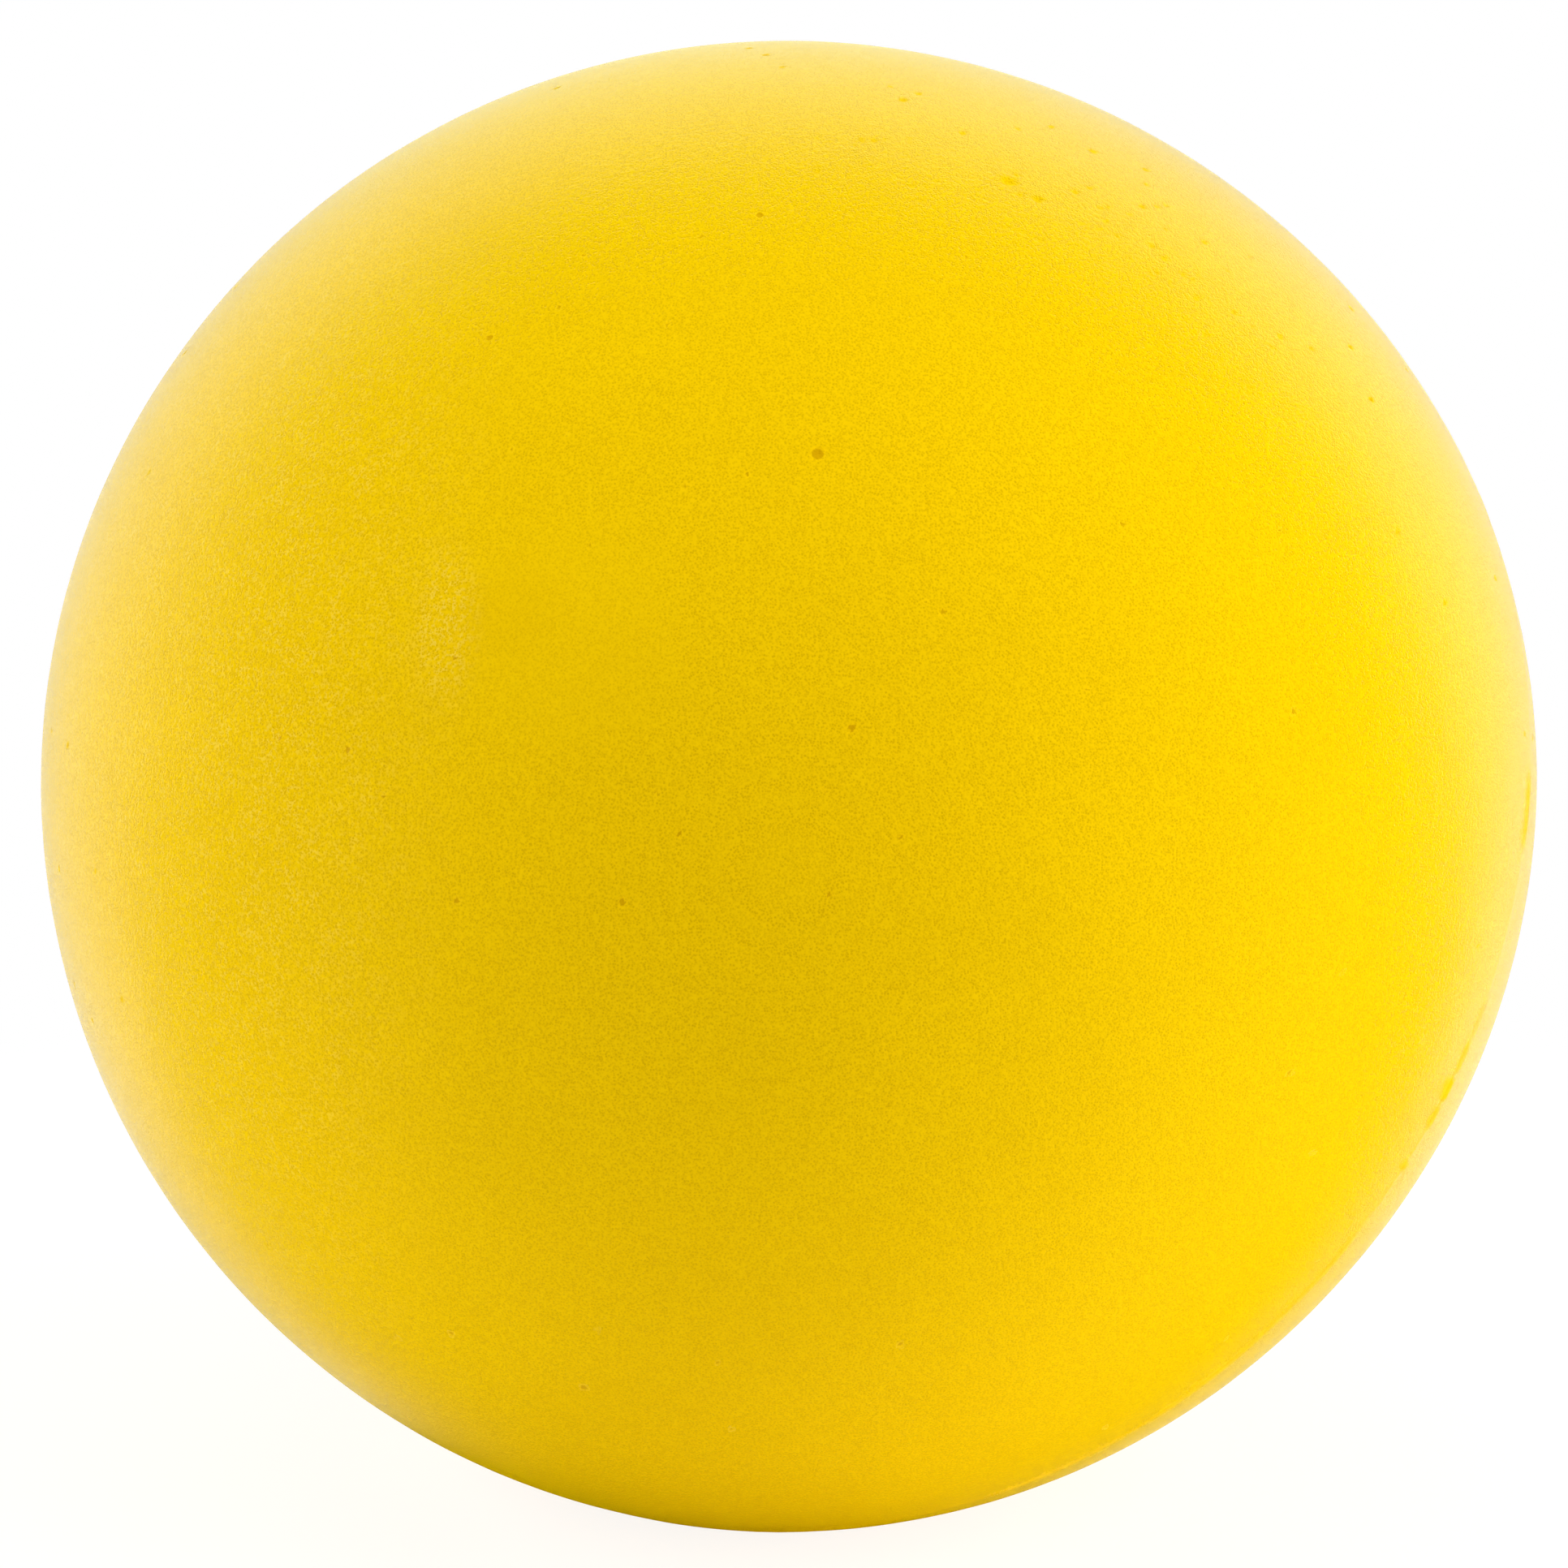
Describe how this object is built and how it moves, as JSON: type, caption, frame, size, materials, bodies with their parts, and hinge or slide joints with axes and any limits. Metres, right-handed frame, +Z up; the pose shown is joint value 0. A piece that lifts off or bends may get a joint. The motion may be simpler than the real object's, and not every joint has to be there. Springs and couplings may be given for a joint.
{
  "type": "foam tennis ball",
  "caption": "Soft yellow foam ball for practice tennis, with a porous moulded skin over a cellular core and a faint ridge along the mould's parting line.",
  "frame": {"origin": "centre of the ball", "axes": "+Z up as the ball lies on a table, -Y towards the viewer of the picture, +X to the viewer's right"},
  "size_m": [0.09, 0.09, 0.09],
  "materials": {
    "foam": "open cellular foam",
    "skin": "porous moulded skin, satin",
    "seam": "trimmed moulding flash, satin"
  },
  "bodies": {
    "root": {"foam_core": "foam", "front_skin": "skin", "back_skin": "skin", "parting_seam": "seam"}
  },
  "joints": []
}
